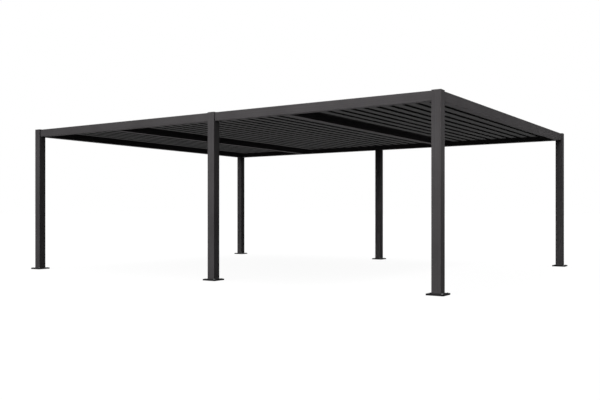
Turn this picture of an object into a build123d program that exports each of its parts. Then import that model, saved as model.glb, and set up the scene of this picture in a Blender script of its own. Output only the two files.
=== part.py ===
# Louvered pergola. Six square aluminium posts on bolted base plates carry a ring of
# box beams. Two cross beams part the flat roof into three unlike bays. Each bay is
# filled with hollow louvers that turn together on pins in the front and back beams,
# and at each end of the bay a fixed edge angle reaches over or under the last louver.
# Sizes are in millimetres. +X runs along the long side, +Y towards the back, +Z up.
# The origin is on the ground, below the middle of the roof. The louvers are closed.
# The front middle post stands right of the middle, and the back middle post in it.

import os

from build123d import *

# Overall: over the outer faces of the corner posts, and up to the top of the caps
LENGTH = 7440
DEPTH = 5700
HEIGHT = 2400

# Posts: square tubes
POST_WIDTH = 120
POST_WALL = 3
POST_CORNER = 3
FRONT_MIDDLE_POST_X = 236
BACK_MIDDLE_POST_X = 0

# Base plates, each with four anchor holes round the post
PLATE_WIDTH = 220
PLATE_THICKNESS = 20
PLATE_CORNER = 6
ANCHOR_HOLE_RADIUS = 7
ANCHOR_SPACING = 170

# Post caps: a plate on top of the tube and a plug inside it
CAP_THICKNESS = 6
CAP_EDGE = 1.5
CAP_PLUG_DEPTH = 6
CAP_PLUG_CLEARANCE = 0.3

# Beams: the ring stands back from the posts' outer faces, flush with the inner ones
BEAM_SETBACK = 20
BEAM_HEIGHT = 118
BEAM_WALL = 3
BEAM_CORNER = 2
CROSS_BEAM_WIDTH = 100

# Louvers: a hollow box with an upper wing on its right and a lower wing on its left
LEFT_BAY_LOUVERS = 8
MIDDLE_BAY_LOUVERS = 16
RIGHT_BAY_LOUVERS = 10
LOUVER_RECESS = 89
LOUVER_THICKNESS = 28
LOUVER_WALL = 2
LOUVER_EDGE = 1.5
GROOVE_WIDTH = 80
WING_THICKNESS = 3
WING_OVERLAP = 4.5
WING_AIR_GAP = 4
LIP_HEIGHT = 2
LIP_WIDTH = 3
LOUVER_END_GAP = 5

# Edge angles: a leg on the beam's face, and a leg in place of the next louver's wing
ANGLE_THICKNESS = 3

# Pivots: a plug in each end of a louver carries a pin, which turns in the beam's wall
PLUG_WIDTH = 40
PLUG_LENGTH = 30
PIN_RADIUS = 6
PIN_CLEARANCE = 0.05
PIN_REACH = 4

# Places that follow from the sizes above
TUBE_TOP = HEIGHT - CAP_THICKNESS
BEAM_BOTTOM = TUBE_TOP - BEAM_HEIGHT
BEAM_MIDDLE = TUBE_TOP - BEAM_HEIGHT / 2
BEAM_WIDTH = POST_WIDTH - BEAM_SETBACK
POST_X = (LENGTH - POST_WIDTH) / 2
POST_Y = (DEPTH - POST_WIDTH) / 2
INNER_X = LENGTH / 2 - POST_WIDTH
INNER_Y = DEPTH / 2 - POST_WIDTH
BEAM_X = INNER_X + BEAM_WIDTH / 2
BEAM_Y = INNER_Y + BEAM_WIDTH / 2
PIVOT_Z = BEAM_BOTTOM + LOUVER_RECESS + LOUVER_THICKNESS / 2
PIN_END_Y = INNER_Y + max(BEAM_WALL, POST_WALL) + PIN_REACH

ROOF_CLEAR = 2 * (INNER_X - CROSS_BEAM_WIDTH)
PITCH = ROOF_CLEAR / (LEFT_BAY_LOUVERS + MIDDLE_BAY_LOUVERS + RIGHT_BAY_LOUVERS + 3)
LEFT_BAY_END = (LEFT_BAY_LOUVERS + 1) * PITCH - INNER_X
RIGHT_BAY_START = INNER_X - (RIGHT_BAY_LOUVERS + 1) * PITCH
CROSS_BEAM_X = {
    "left": LEFT_BAY_END + CROSS_BEAM_WIDTH / 2,
    "right": RIGHT_BAY_START - CROSS_BEAM_WIDTH / 2,
}

# Each bay's start in X and its number of louvers
BAYS = {
    "left": (-INNER_X, LEFT_BAY_LOUVERS),
    "middle": (LEFT_BAY_END + CROSS_BEAM_WIDTH, MIDDLE_BAY_LOUVERS),
    "right": (RIGHT_BAY_START, RIGHT_BAY_LOUVERS),
}

# The louver's section: half widths, and heights above its pivot
HALF_BODY = (PITCH - GROOVE_WIDTH) / 2
WING_REACH = (PITCH + WING_OVERLAP) / 2
LOUVER_TOP = LOUVER_THICKNESS / 2
UPPER_WING = LOUVER_TOP - WING_THICKNESS
LIP_TOP = UPPER_WING - WING_AIR_GAP
LOWER_WING_TOP = LIP_TOP - LIP_HEIGHT
LOWER_WING = LOWER_WING_TOP - WING_THICKNESS


def louver_row(bay_start, count):
    """The X of each louver's pivot in a bay that starts at bay_start."""
    return [bay_start + PITCH * place for place in range(1, count + 1)]


PIVOT_XS = [x for bay in BAYS.values() for x in louver_row(*bay)]

POSTS = {
    "front_left": (-POST_X, -POST_Y),
    "front_middle": (FRONT_MIDDLE_POST_X, -POST_Y),
    "front_right": (POST_X, -POST_Y),
    "back_left": (-POST_X, POST_Y),
    "back_middle": (BACK_MIDDLE_POST_X, POST_Y),
    "back_right": (POST_X, POST_Y),
}


def pivot_holes(low_x, high_x, side_y):
    """Holes in the inner wall for the pins that meet it between low_x and high_x."""
    hole_radius = PIN_RADIUS + PIN_CLEARANCE
    drill = Rot(90, 0, 0) * Cylinder(hole_radius, 2 * (PIN_END_Y - INNER_Y + PIN_REACH))
    met = [x for x in PIVOT_XS if low_x - hole_radius < x < high_x + hole_radius]
    return [Pos(x, side_y * INNER_Y, PIVOT_Z) * drill for x in met]


def square_tube(width, height, wall, corner, length):
    """A rectangular tube along Z from 0 to length."""
    outside = RectangleRounded(width, height, corner)
    return extrude(outside - Rectangle(width - 2 * wall, height - 2 * wall), length)


def post(x, y):
    """One post from its base plate to its cap, drilled if a louver ends at it."""
    tube = square_tube(POST_WIDTH, POST_WIDTH, POST_WALL, POST_CORNER, TUBE_TOP - PLATE_THICKNESS)
    side_y = 1 if y > 0 else -1
    holes = pivot_holes(x - POST_WIDTH / 2, x + POST_WIDTH / 2, side_y)
    placed = Pos(x, y, PLATE_THICKNESS) * tube
    return placed - holes if holes else placed


def base_plate(x, y):
    """One base plate with its four anchor holes."""
    outline = RectangleRounded(PLATE_WIDTH, PLATE_WIDTH, PLATE_CORNER)
    holes = GridLocations(ANCHOR_SPACING, ANCHOR_SPACING, 2, 2) * Circle(ANCHOR_HOLE_RADIUS)
    return Pos(x, y, 0) * extrude(outline - holes, PLATE_THICKNESS)


def post_cap(x, y):
    """One cap: a plate with an eased top edge, and a plug that fits in the tube."""
    plate = extrude(RectangleRounded(POST_WIDTH, POST_WIDTH, POST_CORNER), CAP_THICKNESS)
    plate = chamfer(plate.faces().sort_by(Axis.Z)[-1].edges(), CAP_EDGE)
    plug_width = POST_WIDTH - 2 * (POST_WALL + CAP_PLUG_CLEARANCE)
    plug = extrude(Rectangle(plug_width, plug_width), -CAP_PLUG_DEPTH)
    return Pos(x, y, TUBE_TOP) * (plate + plug)


def beam_along_x(low_x, high_x, side_y):
    """A beam of the ring along X, with the pin holes in its inner wall."""
    tube = square_tube(BEAM_HEIGHT, BEAM_WIDTH, BEAM_WALL, BEAM_CORNER, high_x - low_x)
    placed = Pos(low_x, side_y * BEAM_Y, BEAM_MIDDLE) * (Rot(0, 90, 0) * tube)
    return placed - pivot_holes(low_x, high_x, side_y)


def beam_along_y(x, width):
    """A beam along Y between the front and back inner faces of the ring."""
    tube = square_tube(width, BEAM_HEIGHT, BEAM_WALL, BEAM_CORNER, 2 * INNER_Y)
    return Pos(x, INNER_Y, BEAM_MIDDLE) * (Rot(90, 0, 0) * tube)


def louver_section():
    """The louver's section about its pivot: X across, Y of the sketch upwards."""
    outline = Polygon(
        (-HALF_BODY, -LOUVER_TOP),
        (HALF_BODY, -LOUVER_TOP),
        (HALF_BODY, UPPER_WING),
        (WING_REACH, UPPER_WING),
        (WING_REACH, LOUVER_TOP),
        (-HALF_BODY, LOUVER_TOP),
        (-HALF_BODY, LOWER_WING_TOP),
        (LIP_WIDTH - WING_REACH, LOWER_WING_TOP),
        (LIP_WIDTH - WING_REACH, LIP_TOP),
        (-WING_REACH, LIP_TOP),
        (-WING_REACH, LOWER_WING),
        (-HALF_BODY, LOWER_WING),
        align=None,
    )
    outline = fillet(outline.vertices().group_by(Axis.Y)[0], LOUVER_EDGE)
    return outline - Rectangle(2 * (HALF_BODY - LOUVER_WALL), 2 * (LOUVER_TOP - LOUVER_WALL))


def louver():
    """One louver about its pivot axis, with a plug and a pin at each end."""
    end_y = INNER_Y - LOUVER_END_GAP
    body = Pos(0, end_y, 0) * (Rot(90, 0, 0) * extrude(louver_section(), 2 * end_y))
    plug = Box(PLUG_WIDTH, PLUG_LENGTH, LOUVER_THICKNESS - LOUVER_WALL)
    pin_length = PIN_END_Y - end_y + PLUG_LENGTH / 2
    pin = Rot(90, 0, 0) * Cylinder(PIN_RADIUS, pin_length)
    for side_y in (-1, 1):
        body += Pos(0, side_y * (end_y - PLUG_LENGTH / 2), 0) * plug
        body += Pos(0, side_y * (PIN_END_Y - pin_length / 2), 0) * pin
    return body


def edge_angle(edge_x, way):
    """The angle on the beam's face at edge_x, with its long leg towards way in X."""
    upper = Polygon(
        (0, LOWER_WING),
        (ANGLE_THICKNESS, LOWER_WING),
        (ANGLE_THICKNESS, UPPER_WING),
        (WING_REACH, UPPER_WING),
        (WING_REACH, LOUVER_TOP),
        (0, LOUVER_TOP),
        align=None,
    )
    lower = Polygon(
        (0, LOWER_WING),
        (0, LOUVER_TOP),
        (-ANGLE_THICKNESS, LOUVER_TOP),
        (-ANGLE_THICKNESS, LOWER_WING_TOP),
        (LIP_WIDTH - WING_REACH, LOWER_WING_TOP),
        (LIP_WIDTH - WING_REACH, LIP_TOP),
        (-WING_REACH, LIP_TOP),
        (-WING_REACH, LOWER_WING),
        align=None,
    )
    section = upper if way > 0 else lower
    return Pos(edge_x, INNER_Y, PIVOT_Z) * (Rot(90, 0, 0) * extrude(section, 2 * INNER_Y))


def write(name, shape):
    """Writes one piece, or several like pieces, to a file of its own."""
    export_step(shape, f"parts/{name}.step")


os.makedirs("parts", exist_ok=True)

for place, (post_x, post_y) in POSTS.items():
    write(f"post_{place}", post(post_x, post_y))
write("base_plates", Compound([base_plate(*centre) for centre in POSTS.values()]))
write("post_caps", Compound([post_cap(*centre) for centre in POSTS.values()]))

for side, side_sign, middle_x in (("front", -1, FRONT_MIDDLE_POST_X), ("back", 1, BACK_MIDDLE_POST_X)):
    write(f"{side}_beam_left", beam_along_x(-INNER_X, middle_x - POST_WIDTH / 2, side_sign))
    write(f"{side}_beam_right", beam_along_x(middle_x + POST_WIDTH / 2, INNER_X, side_sign))
for side, side_sign in (("left", -1), ("right", 1)):
    write(f"{side}_beam", beam_along_y(side_sign * BEAM_X, BEAM_WIDTH))
    write(f"cross_beam_{side}", beam_along_y(CROSS_BEAM_X[side], CROSS_BEAM_WIDTH))

one_louver = louver()
for bay, (bay_start, count) in BAYS.items():
    bay_end = bay_start + (count + 1) * PITCH
    write(f"edge_angles_{bay}", Compound([edge_angle(bay_start, 1), edge_angle(bay_end, -1)]))
    for number, pivot_x in enumerate(louver_row(bay_start, count), start=1):
        write(f"louver_{bay}_{number:02d}", Pos(pivot_x, 0, PIVOT_Z) * one_louver)
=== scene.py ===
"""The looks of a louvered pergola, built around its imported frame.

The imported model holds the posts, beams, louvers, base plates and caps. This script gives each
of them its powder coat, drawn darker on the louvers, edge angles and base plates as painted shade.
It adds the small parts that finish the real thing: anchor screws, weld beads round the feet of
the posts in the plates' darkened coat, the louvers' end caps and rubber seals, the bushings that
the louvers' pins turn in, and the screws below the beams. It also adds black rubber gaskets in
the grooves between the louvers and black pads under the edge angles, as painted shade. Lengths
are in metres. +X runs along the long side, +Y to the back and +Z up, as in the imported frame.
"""

import logging
from dataclasses import dataclass
from enum import Enum
from math import pi, radians
from typing import Callable, Iterable, Optional

import bmesh
import bpy
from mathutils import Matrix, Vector


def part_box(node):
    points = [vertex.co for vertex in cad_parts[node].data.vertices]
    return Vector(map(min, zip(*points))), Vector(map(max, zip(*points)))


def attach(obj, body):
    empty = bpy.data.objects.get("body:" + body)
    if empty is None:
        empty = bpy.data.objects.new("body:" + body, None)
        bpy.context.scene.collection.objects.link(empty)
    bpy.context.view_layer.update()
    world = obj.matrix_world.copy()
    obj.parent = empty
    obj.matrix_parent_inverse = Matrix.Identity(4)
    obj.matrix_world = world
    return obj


LOG = logging.getLogger("pergola")
MM = 0.001

# Points nearer to each other than this are one
TOUCH = 0.01 * MM

# Over this share of a piece's height, an edge is one of its top edges
TOP = 0.99

# A unit normal or direction points along an axis if it has this share of it, and lies exactly
# on it if it has the second share
ALONG = 0.9
FLAT = 0.99

# How much of a button head's height its dome takes, and how much its socket
DOME_SHARE, SOCKET_SHARE = 0.7, 0.6

# The inputs and the output of a colour Mix node, by number, because their names aren't unique
MIX_A, MIX_B, MIX_RESULT = 6, 7, 2

# A diagonal Wave texture at a scale of one turns through ten radians to the metre
DIAGONAL_WAVES = 2 * pi / 10

POSTS = ("front_left", "front_middle", "front_right", "back_left", "back_middle", "back_right")
BAYS = {"left": 8, "middle": 16, "right": 10}

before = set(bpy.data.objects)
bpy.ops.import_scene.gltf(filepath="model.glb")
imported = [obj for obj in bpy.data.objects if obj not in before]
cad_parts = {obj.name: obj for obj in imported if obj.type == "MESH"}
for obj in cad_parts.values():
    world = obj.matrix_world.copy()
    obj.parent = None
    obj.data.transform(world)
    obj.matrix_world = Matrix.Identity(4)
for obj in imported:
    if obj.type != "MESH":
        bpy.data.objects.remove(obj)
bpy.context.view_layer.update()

Rule = Callable[[Vector, Vector], bool]


def linear(colour: str) -> tuple[float, float, float, float]:
    """Turns an sRGB colour to the linear values that shaders and lamps take.

    Args:
        colour: The colour as #RRGGBB.

    Returns:
        Red, green and blue, and an alpha of one.
    """
    shares = [int(colour[start:start + 2], 16) / 255 for start in (1, 3, 5)]
    red, green, blue = (c / 12.92 if c <= 0.04045 else ((c + 0.055) / 1.055) ** 2.4 for c in shares)
    return red, green, blue, 1.0


def add_node(
    tree: bpy.types.NodeTree,
    kind: str,
    sockets: Optional[dict] = None,
    **settings,
) -> bpy.types.Node:
    """Adds a shader node with its settings, constants and links.

    Args:
        tree: The node tree that gets the node.
        kind: The node's type, without the ShaderNode in front of it.
        sockets: What each input gets. An output socket is linked, anything else is set.
        settings: The node's own properties.

    Returns:
        The new node.
    """
    node = tree.nodes.new(f"ShaderNode{kind}")
    for name, value in settings.items():
        setattr(node, name, value)
    for name, value in (sockets or {}).items():
        if isinstance(value, bpy.types.NodeSocket):
            tree.links.new(value, node.inputs[name])
        else:
            node.inputs[name].default_value = value
    return node


def per_metre(size_mm: float) -> float:
    """The scale of a pattern whose features are size_mm apart."""
    return 1 / (size_mm * MM)


class Run(Enum):
    """The axis along which a profile was extruded, and with it the run of its faint die lines."""

    ALONG_X = 0
    ALONG_Y = 1
    ALONG_Z = 2
    NONE = None


def drawn_out(run: Run, across_mm: float, along_mm: float) -> list[float]:
    """The scale of a pattern that is drawn out along the run of an extrusion.

    Args:
        run: The run of the extrusion.
        across_mm: How far apart the pattern's features are across the run.
        along_mm: How far apart they are along it.

    Returns:
        The scale along X, Y and Z.
    """
    scale = [per_metre(across_mm)] * 3
    if run is not Run.NONE:
        scale[run.value] = per_metre(along_mm)
    return scale


class Finish:
    """What all finishes share: an empty material and the last step from shader to surface."""

    name: str

    def material(self) -> bpy.types.Material:
        """Returns the finish's material, which is made the first time that it is asked for."""
        known = bpy.data.materials.get(self.name)
        if known is not None:
            return known
        made = bpy.data.materials.new(self.name)
        made.use_nodes = True
        made.node_tree.nodes.clear()
        shader = self.shader(made.node_tree)
        add_node(made.node_tree, "OutputMaterial", {"Surface": shader.outputs[0]})
        return made

    def shader(self, tree: bpy.types.NodeTree) -> bpy.types.Node:
        """Adds the finish's own nodes and returns the shader that ends them."""
        raise NotImplementedError

    def dress(self, piece: bpy.types.Object) -> None:
        """Puts the finish on every material slot of a piece."""
        if not piece.material_slots:
            piece.data.materials.append(None)
        for slot in piece.material_slots:
            slot.material = self.material()


@dataclass(frozen=True)
class PowderCoat(Finish):
    """Charcoal polyester powder, sprayed on extruded aluminium or steel plate and baked.

    The eye sees a soft, even grey with hardly any gloss, slow clouds where the film is thicker,
    and a trace of the die lines under it. The sandy grain is 0.4 mm in the real coat, and is
    drawn 2.2 mm apart so that it shows from a metre or two away.
    """

    name: str
    run: Run
    thin_film: str = "#474546"
    thick_film: str = "#4F4D4E"
    smooth: float = 0.86
    rough: float = 0.96
    gloss: float = 0.03
    grain_mm: float = 2.2
    grain_depth_mm: float = 0.35
    grain_strength: float = 0.6
    grain_contrast: float = 0.22
    peel_mm: float = 9.0
    peel_depth_mm: float = 0.08
    peel_strength: float = 0.5
    cloud_mm: float = 420.0
    cloud_range: float = 0.25
    die_line_mm: float = 14.0
    die_line_length_mm: float = 2600.0

    def shader(self, tree: bpy.types.NodeTree) -> bpy.types.Node:
        """Adds clouds and die lines to the colour, and grain and orange peel to the surface."""
        place = add_node(tree, "TexCoord").outputs["Object"]
        clouds = add_node(
            tree, "TexNoise", {"Vector": place, "Scale": per_metre(self.cloud_mm), "Detail": 4.0}
        )
        scale = drawn_out(self.run, self.die_line_mm, self.die_line_length_mm)
        along = add_node(tree, "Mapping", {"Vector": place, "Scale": scale}, vector_type="POINT")
        lines = add_node(
            tree, "TexNoise", {"Vector": along.outputs[0], "Scale": 1.0, "Detail": 3.0}
        )
        grain = add_node(
            tree, "TexNoise", {"Vector": place, "Scale": per_metre(self.grain_mm), "Detail": 2.0}
        )
        both = add_node(tree, "Math", {0: clouds.outputs[0], 1: lines.outputs[0]}, operation="ADD")
        flecked = add_node(
            tree,
            "Math",
            {0: grain.outputs[0], 1: self.grain_contrast, 2: both.outputs[0]},
            operation="MULTIPLY_ADD",
        )
        middle = 1 + self.grain_contrast / 2
        film = add_node(
            tree,
            "MapRange",
            {
                "Value": flecked.outputs[0],
                "From Min": middle - self.cloud_range,
                "From Max": middle + self.cloud_range,
            },
        )
        tone = add_node(
            tree,
            "Mix",
            {0: film.outputs[0], MIX_A: linear(self.thin_film), MIX_B: linear(self.thick_film)},
            data_type="RGBA",
        )
        sheen = add_node(
            tree,
            "MapRange",
            {"Value": clouds.outputs[0], "To Min": self.smooth, "To Max": self.rough},
        )
        peel = add_node(
            tree, "TexNoise", {"Vector": place, "Scale": per_metre(self.peel_mm), "Detail": 2.0}
        )
        waves = add_node(
            tree,
            "Bump",
            {
                "Height": peel.outputs[0],
                "Strength": self.peel_strength,
                "Distance": self.peel_depth_mm * MM,
            },
        )
        sand = add_node(
            tree,
            "Bump",
            {
                "Height": grain.outputs[0],
                "Strength": self.grain_strength,
                "Distance": self.grain_depth_mm * MM,
                "Normal": waves.outputs[0],
            },
        )
        return add_node(
            tree,
            "BsdfPrincipled",
            {
                "Base Color": tone.outputs[MIX_RESULT],
                "Roughness": sheen.outputs[0],
                "Normal": sand.outputs[0],
                "Specular IOR Level": self.gloss,
            },
        )


@dataclass(frozen=True)
class WeldedSeam(Finish):
    """The plates' powder coat, darkened as painted shade, over a welded seam: the ripples of the weld
    show through the film.
    """

    name: str = "powder_coated_weld_painted_shade"
    # As dark as the plates' coat: painted shade in the corner round the foot of each post.
    colour: str = "#2C2B2C"
    roughness: float = 0.6
    gloss: float = 0.2
    ripple_mm: float = 3.0
    ripple_depth_mm: float = 0.3
    ripple_strength: float = 0.8
    unevenness: float = 1.5

    def shader(self, tree: bpy.types.NodeTree) -> bpy.types.Node:
        """Adds ripples that cross a seam along X and one along Y alike."""
        place = add_node(tree, "TexCoord").outputs["Object"]
        ripples = add_node(
            tree,
            "TexWave",
            {
                "Vector": place,
                "Scale": per_metre(self.ripple_mm) * DIAGONAL_WAVES,
                "Distortion": self.unevenness,
                "Detail": 1.0,
            },
            bands_direction="DIAGONAL",
        )
        relief = add_node(
            tree,
            "Bump",
            {
                "Height": ripples.outputs[1],
                "Strength": self.ripple_strength,
                "Distance": self.ripple_depth_mm * MM,
            },
        )
        return add_node(
            tree,
            "BsdfPrincipled",
            {
                "Base Color": linear(self.colour),
                "Roughness": self.roughness,
                "Normal": relief.outputs[0],
                "Specular IOR Level": self.gloss,
            },
        )


@dataclass(frozen=True)
class TumbledMetal(Finish):
    """Cold-formed steel fasteners, tumbled in a drum, then plated, coated or blackened.

    The eye sees a soft, broken shine, bright on the zinc and dark on the oxide.
    """

    name: str
    worn: str
    clean: str
    roughness: float
    smoother: float = 0.08
    rougher: float = 0.12
    dent_mm: float = 1.2
    dent_depth_mm: float = 0.03
    dent_strength: float = 0.6

    def shader(self, tree: bpy.types.NodeTree) -> bpy.types.Node:
        """Adds the small dents of the drum and a patchy shine."""
        place = add_node(tree, "TexCoord").outputs["Object"]
        dents = add_node(
            tree, "TexNoise", {"Vector": place, "Scale": per_metre(self.dent_mm), "Detail": 3.0}
        )
        tone = add_node(
            tree,
            "Mix",
            {0: dents.outputs[0], MIX_A: linear(self.worn), MIX_B: linear(self.clean)},
            data_type="RGBA",
        )
        shine = add_node(
            tree,
            "MapRange",
            {
                "Value": dents.outputs[0],
                "To Min": self.roughness - self.smoother,
                "To Max": self.roughness + self.rougher,
            },
        )
        relief = add_node(
            tree,
            "Bump",
            {
                "Height": dents.outputs[0],
                "Strength": self.dent_strength,
                "Distance": self.dent_depth_mm * MM,
            },
        )
        return add_node(
            tree,
            "BsdfPrincipled",
            {
                "Base Color": tone.outputs[MIX_RESULT],
                "Metallic": 1.0,
                "Roughness": shine.outputs[0],
                "Normal": relief.outputs[0],
            },
        )


@dataclass(frozen=True)
class BlackPolymer(Finish):
    """Black plastic or rubber: moulded in a spark-eroded tool, or extruded as a seal.

    The eye sees an even, dull black that is a little faded in places.
    """

    name: str
    faded: str
    deep: str
    roughness: float
    grain_mm: float
    grain_length_mm: float = 60.0
    grain_depth_mm: float = 0.05
    grain_strength: float = 0.5
    gloss: float = 0.3
    run: Run = Run.NONE

    def shader(self, tree: bpy.types.NodeTree) -> bpy.types.Node:
        """Adds the tool's grain, drawn out along the run of an extruded strip."""
        place = add_node(tree, "TexCoord").outputs["Object"]
        scale = drawn_out(self.run, self.grain_mm, self.grain_length_mm)
        along = add_node(tree, "Mapping", {"Vector": place, "Scale": scale}, vector_type="POINT")
        grain = add_node(
            tree, "TexNoise", {"Vector": along.outputs[0], "Scale": 1.0, "Detail": 2.0}
        )
        tone = add_node(
            tree,
            "Mix",
            {0: grain.outputs[0], MIX_A: linear(self.faded), MIX_B: linear(self.deep)},
            data_type="RGBA",
        )
        relief = add_node(
            tree,
            "Bump",
            {
                "Height": grain.outputs[0],
                "Strength": self.grain_strength,
                "Distance": self.grain_depth_mm * MM,
            },
        )
        return add_node(
            tree,
            "BsdfPrincipled",
            {
                "Base Color": tone.outputs[MIX_RESULT],
                "Roughness": self.roughness,
                "Normal": relief.outputs[0],
                "Specular IOR Level": self.gloss,
            },
        )


POST_COAT = PowderCoat("powder_coated_post_extrusion", Run.ALONG_Z)
BEAM_X_COAT = PowderCoat("powder_coated_beam_extrusion_x", Run.ALONG_X)
BEAM_Y_COAT = PowderCoat("powder_coated_beam_extrusion_y", Run.ALONG_Y)
# The louvers and edge angles take the same powder coat drawn a little darker: painted shade for the
# roof, which sits recessed between the beams.
LOUVER_COAT_WITH_PAINTED_SHADE = PowderCoat(
    "powder_coated_louver_extrusion",
    Run.ALONG_Y,
    thin_film="#434343",
    thick_film="#4B4A4A",
)
# The base plates take the same charcoal powder drawn much darker: painted shade for the plates, low
# by the floor where little light reaches.
PLATE_COAT_WITH_PAINTED_SHADE = PowderCoat(
    "powder_coated_steel_plate_painted_shade",
    Run.NONE,
    thin_film="#282728",
    thick_film="#2D2C2D",
)
WELD_COAT_WITH_PAINTED_SHADE = WeldedSeam()
ZINC_FLAKE = TumbledMetal("zinc_flake_coated_steel", worn="#5B5C5E", clean="#77787A", roughness=0.5)
BRIGHT_ZINC = TumbledMetal("zinc_plated_steel", worn="#8E9092", clean="#B2B4B6", roughness=0.35)
BLACK_OXIDE = TumbledMetal("black_oxide_steel", worn="#3A3938", clean="#1F1F20", roughness=0.45)
NYLON = BlackPolymer("moulded_black_nylon", "#222223", "#19191A", roughness=0.5, grain_mm=0.8)
RUBBER = BlackPolymer(
    "extruded_rubber_seal",
    "#1D1D1D",
    "#121212",
    roughness=0.9,
    grain_mm=1.0,
    gloss=0.02,
    run=Run.ALONG_Y,
)


def select_only(*pieces: bpy.types.Object) -> None:
    """Selects these pieces and nothing else, and makes the first one active."""
    bpy.ops.object.select_all(action="DESELECT")
    for piece in pieces:
        piece.select_set(True)
    bpy.context.view_layer.objects.active = pieces[0]


def settle(piece: bpy.types.Object, name: str) -> bpy.types.Object:
    """Names a piece and puts its place in its mesh, with the object at the origin."""
    select_only(piece)
    bpy.ops.object.transform_apply(location=True, rotation=True, scale=True)
    piece.name = piece.data.name = name
    return piece


def copy_of(
    piece: bpy.types.Object,
    name: str,
    shift: Iterable[float],
    mirror_y: bool = False,
) -> bpy.types.Object:
    """Copies a piece with a mesh of its own.

    Args:
        piece: The piece to copy.
        name: The copy's name.
        shift: How far the copy moves.
        mirror_y: Whether the copy is mirrored front to back before it moves.

    Returns:
        The copy, settled in its new place.
    """
    select_only(piece)
    bpy.ops.object.duplicate(linked=False)
    twin = bpy.context.active_object
    if mirror_y:
        twin.scale.y = -1
        bpy.ops.object.transform_apply(location=True, rotation=True, scale=True)
        bpy.ops.object.mode_set(mode="EDIT")
        bpy.ops.mesh.select_all(action="SELECT")
        bpy.ops.mesh.normals_make_consistent(inside=False)
        bpy.ops.object.mode_set(mode="OBJECT")
    bpy.ops.transform.translate(value=Vector(shift))
    return settle(twin, name)


def joined(pieces: list[bpy.types.Object], name: str) -> bpy.types.Object:
    """Joins pieces to one."""
    select_only(*pieces)
    bpy.ops.object.join()
    return settle(bpy.context.active_object, name)


class Blank:
    """A primitive on the bench, shaped in edit mode by its picked faces and edges."""

    def __init__(self, add: Callable, **settings) -> None:
        """Adds the primitive and opens it for shaping.

        Args:
            add: The operator that adds the primitive.
            settings: The operator's own settings.
        """
        bpy.ops.object.select_all(action="DESELECT")
        add(**settings)
        self.piece = bpy.context.active_object
        bpy.ops.object.transform_apply(location=True, rotation=True, scale=True)
        bpy.ops.object.mode_set(mode="EDIT")

    @classmethod
    def box(cls, size: Iterable[float], centre: Iterable[float] = (0, 0, 0)) -> "Blank":
        """A box of this size about centre."""
        return cls(
            bpy.ops.mesh.primitive_cube_add, size=1, scale=tuple(size), location=tuple(centre)
        )

    @classmethod
    def rod(
        cls,
        radius: float,
        length: float,
        centre: Iterable[float] = (0, 0, 0),
        sides: int = 24,
        axis: Run = Run.ALONG_Z,
    ) -> "Blank":
        """A cylinder of this radius and length about centre, along Z or along Y."""
        turn = (radians(90), 0, 0) if axis is Run.ALONG_Y else (0, 0, 0)
        return cls(
            bpy.ops.mesh.primitive_cylinder_add,
            vertices=sides,
            radius=radius,
            depth=length,
            location=tuple(centre),
            rotation=turn,
        )

    def pick(self, rule: Rule) -> "Blank":
        """Selects the faces whose centre and normal the rule holds for."""
        bpy.ops.mesh.select_mode(type="FACE")
        bpy.ops.mesh.select_all(action="DESELECT")
        shape = bmesh.from_edit_mesh(self.piece.data)
        for face in shape.faces:
            face.select_set(rule(face.calc_center_median(), face.normal))
        bmesh.update_edit_mesh(self.piece.data)
        return self

    def pick_edges(self, rule: Rule) -> "Blank":
        """Selects the edges whose middle and direction the rule holds for."""
        bpy.ops.mesh.select_mode(type="EDGE")
        bpy.ops.mesh.select_all(action="DESELECT")
        shape = bmesh.from_edit_mesh(self.piece.data)
        for edge in shape.edges:
            one, other = (vertex.co for vertex in edge.verts)
            edge.select_set(rule((one + other) / 2, (other - one).normalized()))
        bmesh.update_edit_mesh(self.piece.data)
        return self

    def inset(self, width: float) -> "Blank":
        """Insets the picked faces, and leaves the inner ones picked."""
        bpy.ops.mesh.inset(thickness=width, depth=0)
        return self

    def extrude(self, way: Iterable[float]) -> "Blank":
        """Extrudes the picked faces, and leaves the new ones picked."""
        bpy.ops.mesh.extrude_region_move(TRANSFORM_OT_translate={"value": tuple(way)})
        return self

    def bevel(self, width: float, segments: int = 1) -> "Blank":
        """Bevels the picked edges."""
        bpy.ops.mesh.bevel(
            offset=width,
            offset_type="OFFSET",
            segments=segments,
            affect="EDGES",
            clamp_overlap=True,
        )
        return self

    def cut(self, point: Iterable[float], normal: Iterable[float]) -> "Blank":
        """Cuts every face along a plane, and keeps both sides."""
        bpy.ops.mesh.select_all(action="SELECT")
        bpy.ops.mesh.bisect(plane_co=tuple(point), plane_no=tuple(normal))
        return self

    def bridge(self) -> "Blank":
        """Replaces the two picked faces by a tunnel between them."""
        bpy.ops.mesh.bridge_edge_loops()
        return self

    def merge_flats(self) -> "Blank":
        """Dissolves the edges between faces in one plane."""
        bpy.ops.mesh.select_all(action="SELECT")
        bpy.ops.mesh.dissolve_limited(angle_limit=radians(0.5))
        return self

    def done(self, name: str, smooth_below: float = 40) -> bpy.types.Object:
        """Closes the blank: normals outwards, soft shading below an angle in degrees.

        Args:
            name: The finished piece's name.
            smooth_below: Edges that turn by less than this are shaded smooth.

        Returns:
            The finished piece.
        """
        bpy.ops.mesh.select_all(action="SELECT")
        bpy.ops.mesh.remove_doubles(threshold=TOUCH)
        bpy.ops.mesh.normals_make_consistent(inside=False)
        bpy.ops.object.mode_set(mode="OBJECT")
        settle(self.piece, name)
        bpy.ops.object.shade_smooth_by_angle(angle=radians(smooth_below))
        return self.piece


def discard(*pieces: bpy.types.Object) -> None:
    """Removes patterns that have been copied."""
    for piece in pieces:
        bpy.data.objects.remove(piece)


def report(what: str, count: int, piece: bpy.types.Object) -> None:
    """Logs how many pieces of a kind there are, and how many faces one of them has."""
    LOG.info("%s: %d of %d faces", what, count, len(piece.data.polygons))


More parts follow.
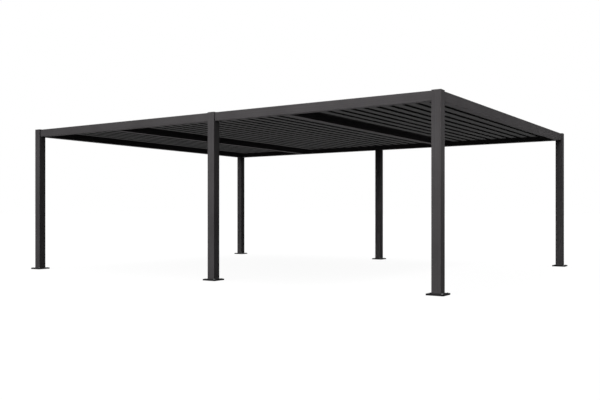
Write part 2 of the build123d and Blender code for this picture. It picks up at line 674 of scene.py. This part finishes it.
def button_head(
    radius: float, height: float, socket_radius: float, name: str
) -> bpy.types.Object:
    """A domed screw head on Z zero, with a hexagon socket.

    Args:
        radius: The head's radius.
        height: Its height.
        socket_radius: The socket's radius over its corners.
        name: The head's name.

    Returns:
        The head.
    """
    blank = Blank.rod(radius, height, (0, 0, height / 2), sides=20)
    blank.pick_edges(lambda middle, way: middle.z > TOP * height)
    head = blank.bevel(DOME_SHARE * height, segments=4).done(name, smooth_below=50)
    tool_middle = (0, 0, (1.5 - SOCKET_SHARE) * height)
    tool = Blank.rod(socket_radius, height, tool_middle, sides=6).done("socket_tool")
    select_only(head)
    bpy.ops.object.modifier_add(type="BOOLEAN")
    head.modifiers[-1].object = tool
    head.modifiers[-1].operation = "DIFFERENCE"
    bpy.ops.object.modifier_apply(modifier=head.modifiers[-1].name)
    discard(tool)
    return head


def post_centre(place: str) -> tuple[float, float]:
    """The X and Y of a post's axis."""
    low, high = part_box(f"post_{place}")
    return (low.x + high.x) / 2, (low.y + high.y) / 2


def louver_names() -> list[str]:
    """The names of all louvers, which are also the names of their bodies."""
    return [
        f"louver_{bay}_{number:02d}"
        for bay, count in BAYS.items()
        for number in range(1, count + 1)
    ]


def pivot(louver: str) -> Vector:
    """The middle of a louver's pivot axis, about which its section is laid out."""
    low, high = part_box(louver)
    return (low + high) / 2


def pitch() -> float:
    """The distance between the pivots of two louvers side by side."""
    return pivot("louver_left_02").x - pivot("louver_left_01").x


def bay_ends(bay: str) -> tuple[Vector, Vector]:
    """The faces of the beams at a bay's low and high end, at the height of the pivots."""
    step = Vector((pitch(), 0, 0))
    return pivot(f"louver_{bay}_01") - step, pivot(f"louver_{bay}_{BAYS[bay]:02d}") + step


@dataclass
class CoatedFrame:
    """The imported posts, beams, louvers, edge angles, plates and caps, each with its powder coat."""

    def finish_of(self, node: str) -> Finish:
        """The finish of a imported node, from its name."""
        if node.startswith(("louver", "edge_angles")):
            return LOUVER_COAT_WITH_PAINTED_SHADE
        if node.startswith("post_"):
            return POST_COAT
        if node == "base_plates":
            return PLATE_COAT_WITH_PAINTED_SHADE
        return BEAM_X_COAT if node.startswith(("front", "back")) else BEAM_Y_COAT

    def build(self) -> None:
        """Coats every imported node."""
        for name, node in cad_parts.items():
            self.finish_of(name).dress(node)
        LOG.info("coated %d packed nodes", len(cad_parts))


@dataclass
class AnchorScrews:
    """Four low bright anchor screws on each base plate, each with its duller washer."""

    off_centre: float = 85 * MM
    washer_radius: float = 13 * MM
    washer_thickness: float = 2 * MM
    washer_easing: float = 0.5 * MM
    head_radius: float = 9.5 * MM
    head_height: float = 5 * MM
    socket_radius: float = 4 * MM

    def washer(self) -> bpy.types.Object:
        """A round washer with an eased rim."""
        top = self.washer_thickness
        blank = Blank.rod(self.washer_radius, top, (0, 0, top / 2), sides=32)
        blank.pick_edges(lambda middle, way: middle.z > TOP * top)
        return blank.bevel(self.washer_easing, segments=2).done("washer")

    def build(self) -> None:
        """Models a washer and a head, and copies them to each plate's four holes."""
        washer = self.washer()
        head = button_head(self.head_radius, self.head_height, self.socket_radius, "anchor_head")
        plate_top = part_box("base_plates")[1].z
        lifted = Vector((0, 0, self.washer_thickness))
        both_sides = (-self.off_centre, self.off_centre)
        corners = [(along_x, along_y) for along_x in both_sides for along_y in both_sides]
        for place in POSTS:
            x, y = post_centre(place)
            holes = [Vector((x + along_x, y + along_y, plate_top)) for along_x, along_y in corners]
            washers = joined(
                [copy_of(washer, "washer", hole) for hole in holes], f"anchor_washers_{place}"
            )
            heads = joined(
                [copy_of(head, "head", hole + lifted) for hole in holes], f"anchor_heads_{place}"
            )
            for pieces, finish in ((washers, ZINC_FLAKE), (heads, BRIGHT_ZINC)):
                finish.dress(pieces)
                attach(pieces, "frame")
        for what, piece in (("anchor washers", washer), ("anchor heads", head)):
            report(what, len(corners) * len(POSTS), piece)
        discard(washer, head)


@dataclass
class WeldBeads:
    """The coated weld bead round the foot of each post, on its base plate."""

    width: float = 7 * MM
    height: float = 6 * MM
    under_skin: float = 0.6 * MM
    rounding: float = 4 * MM
    corner: float = 9 * MM

    def bead(self, post_width: float) -> bpy.types.Object:
        """A square ring, rounded on top, that fits round a post of this width."""
        outer = post_width / 2 + self.width
        inner = post_width / 2 - self.under_skin
        blank = Blank.box((2 * outer, 2 * outer, self.height), (0, 0, self.height / 2))
        blank.pick_edges(lambda middle, way: abs(way.z) > ALONG).bevel(self.corner, segments=4)
        blank.pick_edges(lambda middle, way: middle.z > TOP * self.height)
        blank.bevel(self.rounding, segments=3)
        blank.pick(lambda centre, normal: normal.z > FLAT).inset(outer - self.rounding - inner)
        blank.pick(lambda centre, normal: normal.z < -FLAT).inset(outer - inner)
        blank.pick(lambda centre, normal: abs(normal.z) > FLAT and centre.xy.length < inner / 2)
        return blank.bridge().done("bead", smooth_below=60)

    def build(self) -> None:
        """Models one bead and copies it to each post."""
        low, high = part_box("post_front_left")
        bead = self.bead(high.x - low.x)
        for place in POSTS:
            x, y = post_centre(place)
            ring = copy_of(bead, f"weld_bead_{place}", (x, y, low.z))
            WELD_COAT_WITH_PAINTED_SHADE.dress(ring)
            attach(ring, "frame")
        report("weld beads", len(POSTS), bead)
        discard(bead)


@dataclass
class LouverSection:
    """The louver's section about its pivot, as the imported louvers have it."""

    groove_width: float = 80 * MM
    upper_wing_underside: float = 11 * MM
    lower_wing_top: float = 5 * MM
    lower_wing_underside: float = 2 * MM
    lip_top: float = 7 * MM
    lip_width: float = 3 * MM
    end_gap: float = 5 * MM

    def half_height(self) -> float:
        """From the pivot to the louver's top, and as far down to its underside."""
        low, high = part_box("louver_left_01")
        return (high.z - low.z) / 2

    def half_body(self) -> float:
        """From the pivot to the side of the hollow body."""
        return (pitch() - self.groove_width) / 2

    def reach(self) -> float:
        """How far each wing reaches from the pivot."""
        low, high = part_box("louver_left_01")
        return (high.x - low.x) / 2

    def inner_y(self) -> float:
        """The inner faces of the front and back beams, on either side of the middle."""
        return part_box("left_beam")[1].y

    def end_y(self) -> float:
        """Where the louver's profile ends, short of the beam's inner face."""
        return self.inner_y() - self.end_gap


@dataclass
class EndCaps:
    """Moulded nylon caps that close both ends of each hollow louver."""

    section: LouverSection
    thickness: float = 2.5 * MM
    rim: float = 2.5 * MM
    pocket: float = 0.8 * MM
    easing: float = 0.4 * MM

    def cap(self) -> bpy.types.Object:
        """The cap for the front end of a louver whose pivot is at the origin."""
        s = self.section
        reach, half_body, end = s.reach(), s.half_body(), -s.end_y()
        outside = end - self.thickness
        size = (2 * half_body, self.thickness, 2 * s.half_height())
        blank = Blank.box(size, (0, end - self.thickness / 2, 0))
        for height in (s.upper_wing_underside, s.lower_wing_top, s.lower_wing_underside):
            blank.cut((0, 0, height), (0, 0, 1))
        wing = reach - half_body
        blank.pick(lambda centre, normal: normal.x > ALONG and centre.z > s.upper_wing_underside)
        blank.extrude((wing, 0, 0))
        blank.pick(
            lambda centre, normal: normal.x < -ALONG
            and s.lower_wing_underside < centre.z < s.lower_wing_top
        )
        blank.extrude((-wing, 0, 0))
        blank.cut((s.lip_width - reach, 0, 0), (1, 0, 0))
        blank.pick(lambda centre, normal: normal.z > ALONG and centre.x < s.lip_width - reach)
        blank.extrude((0, 0, s.lip_top - s.lower_wing_top)).merge_flats()
        blank.pick(lambda centre, normal: normal.y < -ALONG)
        blank.inset(self.rim / 2).extrude((0, self.pocket, 0))
        blank.pick_edges(lambda middle, way: middle.y < outside + TOUCH)
        return blank.bevel(self.easing).done("end_cap", smooth_below=30)

    def build(self) -> None:
        """Models one cap, and gives each louver a pair of them."""
        front = self.cap()
        back = copy_of(front, "end_cap_back", (0, 0, 0), mirror_y=True)
        pair = joined([front, back], "end_cap_pair")
        for louver in louver_names():
            at = pivot(louver)
            caps = copy_of(pair, louver.replace("louver", "end_caps"), (at.x, 0, at.z))
            NYLON.dress(caps)
            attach(caps, louver)
        report("pairs of end caps", len(louver_names()), pair)
        discard(pair)


@dataclass
class WingSeals:
    """The rubber bulb seal on each lip, on which the next louver's wing rests."""

    section: LouverSection
    clearance: float = 0.2 * MM

    def seal(self) -> bpy.types.Object:
        """The seal of a louver whose pivot is at the origin."""
        s = self.section
        radius = (s.upper_wing_underside - self.clearance - s.lip_top) / 2
        centre = (s.lip_width / 2 - s.reach(), 0, s.lip_top + radius)
        blank = Blank.rod(radius, 2 * s.end_y(), centre, sides=14, axis=Run.ALONG_Y)
        return blank.done("seal", smooth_below=60)

    def build(self) -> None:
        """Models one seal, and copies it to each louver and each bay's last edge angle."""
        seal = self.seal()
        lips = {name.replace("louver", "wing_seal"): (pivot(name), name) for name in louver_names()}
        lips.update({f"wing_seal_{bay}_end": (bay_ends(bay)[1], "frame") for bay in BAYS})
        for name, (at, body) in lips.items():
            strip = copy_of(seal, name, (at.x, 0, at.z))
            RUBBER.dress(strip)
            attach(strip, body)
        report("wing seals", len(lips), seal)
        discard(seal)


@dataclass
class GrooveShadeGaskets:
    """Ribbed black rubber gaskets lining both sides of each groove: painted shade, a dark lining
    where the louvers shade the groove.
    """

    section: LouverSection
    thickness: float = 1.6 * MM
    rib: float = 1.4 * MM
    edge_gap: float = 2 * MM
    rib_count: int = 3

    def gasket(self, side: int, top: float) -> bpy.types.Object:
        """A gasket on one side of the body of a louver whose pivot is at the origin.

        Args:
            side: 1 for the side in +X, -1 for the other one.
            top: The height of its top edge above the pivot.

        Returns:
            The gasket, cut into level bands, of which every second one stands out as a rib.
        """
        s = self.section
        low = self.edge_gap - s.half_height()
        face = side * s.half_body()
        size = (self.thickness, 2 * s.end_y(), top - low)
        blank = Blank.box(size, (face + side * self.thickness / 2, 0, (top + low) / 2))
        bands = 2 * self.rib_count + 1
        step = (top - low) / bands
        for band in range(1, bands):
            blank.cut((0, 0, low + band * step), (0, 0, 1))
        blank.pick(
            lambda centre, normal: side * normal.x > ALONG
            and round((centre.z - low) / step - 0.5) % 2 == 1
        )
        return blank.extrude((side * self.rib, 0, 0)).done("gasket", smooth_below=30)

    def build(self) -> None:
        """Models a pair of gaskets, and copies it to each louver."""
        s = self.section
        right = self.gasket(1, s.upper_wing_underside - self.edge_gap)
        left = self.gasket(-1, s.lower_wing_underside)
        pair = joined([right, left], "gasket_pair")
        for louver in louver_names():
            at = pivot(louver)
            gaskets = copy_of(pair, louver.replace("louver", "groove_shade_gaskets"), (at.x, 0, at.z))
            RUBBER.dress(gaskets)
            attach(gaskets, louver)
        report("pairs of groove shade gaskets", len(louver_names()), pair)
        discard(pair)


@dataclass
class PaintedShadePads:
    """A black pad under each bay's upper edge angle: painted shade, a dark lining for the recess
    there.
    """

    section: LouverSection
    thickness: float = 2 * MM
    from_beam: float = 4 * MM
    width: float = 84 * MM
    easing: float = 0.8 * MM

    def build(self) -> None:
        """Models a pad with eased lower edges below each upper angle."""
        s = self.section
        for bay in BAYS:
            at = bay_ends(bay)[0]
            under = at.z + s.upper_wing_underside
            size = (self.width, 2 * s.end_y(), self.thickness)
            centre = (at.x + self.from_beam + self.width / 2, 0, under - self.thickness / 2)
            blank = Blank.box(size, centre)
            low_edge = under - TOP * self.thickness
            blank.pick_edges(lambda middle, way: middle.z < low_edge and abs(way.y) > ALONG)
            pad = blank.bevel(self.easing, segments=2).done(f"painted_shade_pad_{bay}")
            RUBBER.dress(pad)
            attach(pad, "frame")
        report("painted shade pads", len(BAYS), pad)


@dataclass
class PivotBushings:
    """The flanged nylon bushings, fixed in the beams, in which the louvers' pins turn."""

    section: LouverSection
    flange_radius: float = 11 * MM
    flange_thickness: float = 1.5 * MM
    easing: float = 0.4 * MM

    def flange(self) -> bpy.types.Object:
        """The flange of a bushing, on the inner face of a front beam that lies at Y zero."""
        inside = self.flange_thickness
        blank = Blank.rod(self.flange_radius, inside, (0, inside / 2, 0), axis=Run.ALONG_Y)
        blank.pick_edges(lambda middle, way: middle.y > TOP * inside)
        return blank.bevel(self.easing, segments=2).done("flange")

    def build(self) -> None:
        """Models one flange and copies it to both ends of every pivot axis."""
        front = self.flange()
        back = copy_of(front, "flange_back", (0, 0, 0), mirror_y=True)
        inner = self.section.inner_y()
        pivots = [pivot(louver) for louver in louver_names()]
        for side, flange, y in (("front", front, -inner), ("back", back, inner)):
            row = [copy_of(flange, "flange", (at.x, y, at.z)) for at in pivots]
            bushings = joined(row, f"pivot_bushings_{side}")
            NYLON.dress(bushings)
            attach(bushings, "frame")
            report(f"{side} pivot bushings", len(row), flange)
        discard(front, back)


@dataclass
class BeamScrews:
    """Two black button-head screws below each end of each beam, into the bracket inside it."""

    head_radius: float = 5.5 * MM
    head_height: float = 3.2 * MM
    socket_radius: float = 2.3 * MM
    from_end: float = 35 * MM
    apart: float = 56 * MM

    def screw(self) -> bpy.types.Object:
        """A button head that hangs below Z zero."""
        head = button_head(self.head_radius, self.head_height, self.socket_radius, "beam_screw")
        head.rotation_euler.x = radians(180)
        return settle(head, "beam_screw")

    def places(self) -> list[tuple[float, float]]:
        """The X and Y of every screw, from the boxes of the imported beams."""
        spots = []
        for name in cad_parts:
            if "beam" not in name:
                continue
            low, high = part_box(name)
            along_x = high.x - low.x > high.y - low.y
            run, across = (0, 1) if along_x else (1, 0)
            for side in (-1, 1):
                for end, inwards in ((low, 1), (high, -1)):
                    spot = (low + high) / 2
                    spot[run] = end[run] + inwards * self.from_end
                    spot[across] += side * self.apart / 2
                    spots.append((spot.x, spot.y))
        return spots

    def build(self) -> None:
        """Models one screw and copies it to every place."""
        screw = self.screw()
        beam_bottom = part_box("left_beam")[0].z
        heads = [copy_of(screw, "head", (x, y, beam_bottom)) for x, y in self.places()]
        screws = joined(heads, "beam_screws")
        BLACK_OXIDE.dress(screws)
        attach(screws, "frame")
        report("beam screws", len(heads), screw)
        discard(screw)


@dataclass(frozen=True)
class Glow:
    """A soft bright patch of the studio's sky.

    Its light falls off as the cosine of the angle from its middle, raised to its tightness.
    """

    way: tuple[float, float, float]
    strength: float
    tightness: float


@dataclass(frozen=True)
class Softbox:
    """A soft lamp whose light keeps near the way that it points.

    Three long ones stand along the front and the right side, higher than the roof, so that the
    light on the posts fades downwards. A small one stands low in front, and reaches the back
    middle post between the front ones. The size is the width along the horizon and the height.
    """

    place: tuple[float, float, float]
    aim: tuple[float, float, float]
    size: tuple[float, float]
    power: float
    spread: float


@dataclass
class Studio:
    """A white studio: pale floor, sky of soft glows, lamps, and the photograph's camera."""

    floor_size: float = 1200.0
    floor_grey: str = "#181818"
    white: str = "#FFFFFF"
    shadow_share: float = 0.08
    ambient: float = 0.02
    glows: tuple[Glow, ...] = (
        Glow(way=(-0.1, -1.0, 0.45), strength=2.6, tightness=6.0),
        Glow(way=(1.0, 0.2, 0.35), strength=0.3, tightness=3.0),
        Glow(way=(-1.0, 0.9, 0.3), strength=3.2, tightness=5.0),
        Glow(way=(0.0, 0.0, 1.0), strength=3.0, tightness=6.0),
    )
    softboxes: tuple[Softbox, ...] = (
        Softbox((-4.5, -8.5, 4.6), (-4.0, -2.8, 2.2), size=(8.0, 1.2), power=25.0, spread=60.0),
        Softbox((2.5, -8.5, 4.6), (2.5, -2.8, 2.2), size=(6.0, 1.2), power=34.0, spread=60.0),
        Softbox((6.0, -1.2, 5.0), (3.7, -1.2, 1.85), size=(8.0, 1.0), power=21.0, spread=28.0),
        Softbox((5.0, -9.0, 1.0), (0.0, 2.8, 0.9), size=(0.6, 0.6), power=1.3, spread=12.0),
    )
    uplight: float = 1.54
    uplight_softness: float = 8.0
    camera_place: tuple[float, float, float] = (7.0165, -10.7685, 0.954)
    camera_turn: float = 33.57
    camera_lens: float = 43.61
    camera_sensor: float = 36.0
    camera_shift: float = 0.0225

    def seen(self, tree: bpy.types.NodeTree) -> bpy.types.NodeSocket:
        """One for rays that show the backdrop, straight, mirrored or through glass, else zero."""
        path = add_node(tree, "LightPath")
        mirrored = add_node(
            tree,
            "Math",
            {0: path.outputs["Is Glossy Ray"], 1: path.outputs["Is Transmission Ray"]},
            operation="MAXIMUM",
        )
        either = add_node(
            tree,
            "Math",
            {0: path.outputs["Is Camera Ray"], 1: mirrored.outputs[0]},
            operation="MAXIMUM",
        )
        return either.outputs[0]

    def floor(self) -> None:
        """A pale matt floor that shows white, with a light shadow, and lights the roof as a grey.

        It casts no shadow itself, so that the uplight reaches the louvers from below.
        """
        bpy.ops.object.select_all(action="DESELECT")
        bpy.ops.mesh.primitive_plane_add(size=self.floor_size, location=(0, 0, 0))
        floor = settle(bpy.context.active_object, "studio_floor")
        floor.visible_shadow = False
        paint = bpy.data.materials.new("matt_studio_floor")
        paint.use_nodes = True
        tree = paint.node_tree
        tree.nodes.clear()
        grey = add_node(tree, "BsdfDiffuse", {"Color": linear(self.floor_grey)})
        shaded = add_node(tree, "BsdfDiffuse", {"Color": linear(self.white)})
        white = add_node(tree, "Emission", {"Color": linear(self.white), "Strength": 1.0})
        shown = add_node(
            tree, "MixShader", {0: self.shadow_share, 1: white.outputs[0], 2: shaded.outputs[0]}
        )
        mixed = add_node(
            tree, "MixShader", {0: self.seen(tree), 1: grey.outputs[0], 2: shown.outputs[0]}
        )
        add_node(tree, "OutputMaterial", {"Surface": mixed.outputs[0]})
        floor.data.materials.append(paint)

    def sky(self) -> None:
        """A world that shows white, and lights the object by its ambient level and its glows."""
        world = bpy.data.worlds.new("studio_sky")
        world.use_nodes = True
        tree = world.node_tree
        tree.nodes.clear()
        way = add_node(tree, "TexCoord").outputs["Generated"]
        total = add_node(tree, "Value")
        total.outputs[0].default_value = self.ambient
        for glow in self.glows:
            middle = tuple(Vector(glow.way).normalized())
            facing = add_node(tree, "VectorMath", {0: way, 1: middle}, operation="DOT_PRODUCT")
            ahead = add_node(
                tree, "Math", {0: facing.outputs["Value"], 1: 0.0}, operation="MAXIMUM"
            )
            patch = add_node(
                tree, "Math", {0: ahead.outputs[0], 1: glow.tightness}, operation="POWER"
            )
            total = add_node(
                tree,
                "Math",
                {0: patch.outputs[0], 1: glow.strength, 2: total.outputs[0]},
                operation="MULTIPLY_ADD",
            )
        light = add_node(
            tree, "Background", {"Color": linear(self.white), "Strength": total.outputs[0]}
        )
        white = add_node(tree, "Background", {"Color": linear(self.white), "Strength": 1.0})
        mixed = add_node(
            tree, "MixShader", {0: self.seen(tree), 1: light.outputs[0], 2: white.outputs[0]}
        )
        add_node(tree, "OutputWorld", {"Surface": mixed.outputs[0]})
        bpy.context.scene.world = world

    def softbox(self, name: str, box: Softbox) -> None:
        """Adds a softbox, which neither the camera nor a shiny face sees."""
        data = bpy.data.lights.new(name, "AREA")
        data.shape = "RECTANGLE"
        data.size, data.size_y = box.size
        data.energy = box.power
        data.spread = radians(box.spread)
        lamp = bpy.data.objects.new(name, data)
        lamp.location = box.place
        back = Vector(box.place) - Vector(box.aim)
        lamp.rotation_euler = back.to_track_quat("Z", "Y").to_euler()
        lamp.visible_camera = lamp.visible_glossy = False
        bpy.context.scene.collection.objects.link(lamp)

    def uplamp(self) -> None:
        """Adds the distant soft lamp that lights the roof from below, through the floor."""
        data = bpy.data.lights.new("uplight", "SUN")
        data.energy = self.uplight
        data.angle = radians(self.uplight_softness)
        lamp = bpy.data.objects.new("uplight", data)
        lamp.rotation_euler = (radians(180), 0, 0)
        bpy.context.scene.collection.objects.link(lamp)

    def camera(self) -> None:
        """Places the camera where the photograph's perspective was solved."""
        data = bpy.data.cameras.new("camera")
        data.lens = self.camera_lens
        data.sensor_width = self.camera_sensor
        data.shift_y = self.camera_shift
        camera = bpy.data.objects.new("camera", data)
        camera.location = self.camera_place
        camera.rotation_euler = (radians(90), 0, radians(self.camera_turn))
        bpy.context.scene.collection.objects.link(camera)
        bpy.context.scene.camera = camera

    def build(self) -> None:
        """Builds the floor, the light and the camera."""
        bpy.context.scene.view_settings.view_transform = "Standard"
        self.floor()
        self.sky()
        self.uplamp()
        for number, box in enumerate(self.softboxes, start=1):
            self.softbox(f"softbox_{number}", box)
        self.camera()
        LOG.info("studio built")


def main() -> None:
    """Coats the frame, adds the small parts, and builds the studio."""
    logging.basicConfig(level=logging.INFO, format="%(name)s: %(message)s")
    section = LouverSection()
    CoatedFrame().build()
    AnchorScrews().build()
    WeldBeads().build()
    EndCaps(section).build()
    WingSeals(section).build()
    GrooveShadeGaskets(section).build()
    PaintedShadePads(section).build()
    PivotBushings(section).build()
    BeamScrews().build()
    Studio().build()


if __name__ == "__main__":
    main()
